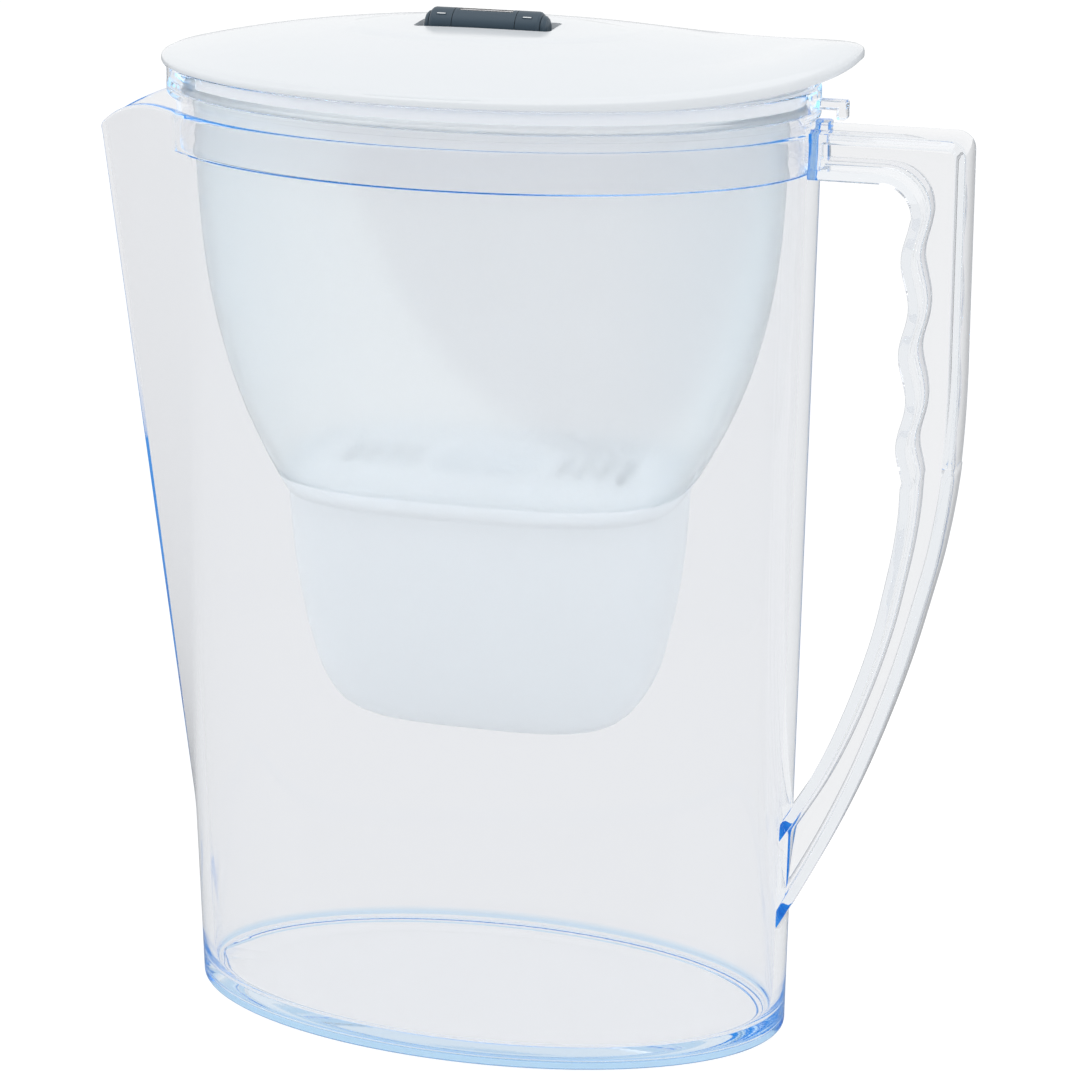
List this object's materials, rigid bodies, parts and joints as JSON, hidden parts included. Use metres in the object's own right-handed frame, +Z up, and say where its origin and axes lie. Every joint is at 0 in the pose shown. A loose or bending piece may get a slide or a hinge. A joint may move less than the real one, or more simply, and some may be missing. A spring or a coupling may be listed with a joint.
{
  "type": "water filter pitcher",
  "caption": "Slim clear oval water filter pitcher with V spout, bow handle, lift-out frosted hopper and cartridge, and hinged white lid with a two-dial date indicator.",
  "frame": {"origin": "centre of the base oval, on the surface the pitcher stands on", "axes": "+Z up, +X towards the handle, -X towards the spout, Y across the narrow width"},
  "size_m": [0.2325, 0.1018, 0.2737],
  "materials": {
    "clear_plastic": "clear, polished, faint blue",
    "frosted_plastic": "translucent, fine satin",
    "white_plastic": "smooth gloss white",
    "slate_plastic": "satin dark slate",
    "number_strip": "matt black number drum",
    "figure_print": "white printed figures and marks",
    "seal_rubber": "soft grey elastomer",
    "screen_mesh": "fine woven mesh",
    "carbon_media": "packed granules"
  },
  "bodies": {
    "jug": {"jug_body": "clear_plastic", "handle": "clear_plastic"},
    "hopper": {"hopper_collar": "clear_plastic", "hopper_bowl": "frosted_plastic", "cartridge_cup": "frosted_plastic", "hinge_pin": "white_plastic"},
    "lid": {"lid_shell": "white_plastic", "lid_frame": "white_plastic", "indicator_tray": "white_plastic", "indicator_housing": "slate_plastic", "indicator_window": "clear_plastic", "indicator_axle": "slate_plastic", "left_end_cap": "slate_plastic", "right_end_cap": "slate_plastic"},
    "left_dial": {"left_knob": "slate_plastic", "left_drum": "number_strip"},
    "right_dial": {"right_knob": "slate_plastic", "right_drum": "number_strip"},
    "cartridge": {"cartridge_casing": "white_plastic", "cartridge_cap": "white_plastic", "cartridge_seal": "seal_rubber", "top_screen": "screen_mesh", "bottom_screen": "screen_mesh", "filter_media": "carbon_media"}
  },
  "joints": [
    {"name": "hopper_lift", "type": "slide", "parent": "jug", "child": "hopper", "axis": [0, 0, 1], "range_m": [0, 0.175]},
    {"name": "lid_hinge", "type": "hinge", "parent": "hopper", "child": "lid", "pos_m": [-0.0837, 0, 0.2574], "axis": [0, -1, 0], "range_deg": [0, 100]},
    {"name": "left_dial_turn", "type": "hinge", "parent": "lid", "child": "left_dial", "pos_m": [-0.0105, 0, 0.269], "axis": [1, 0, 0], "continuous": true},
    {"name": "right_dial_turn", "type": "hinge", "parent": "lid", "child": "right_dial", "pos_m": [0.0122, 0, 0.269], "axis": [1, 0, 0], "continuous": true},
    {"name": "cartridge_lift", "type": "slide", "parent": "hopper", "child": "cartridge", "axis": [0, 0, 1], "range_m": [0, 0.07]}
  ]
}
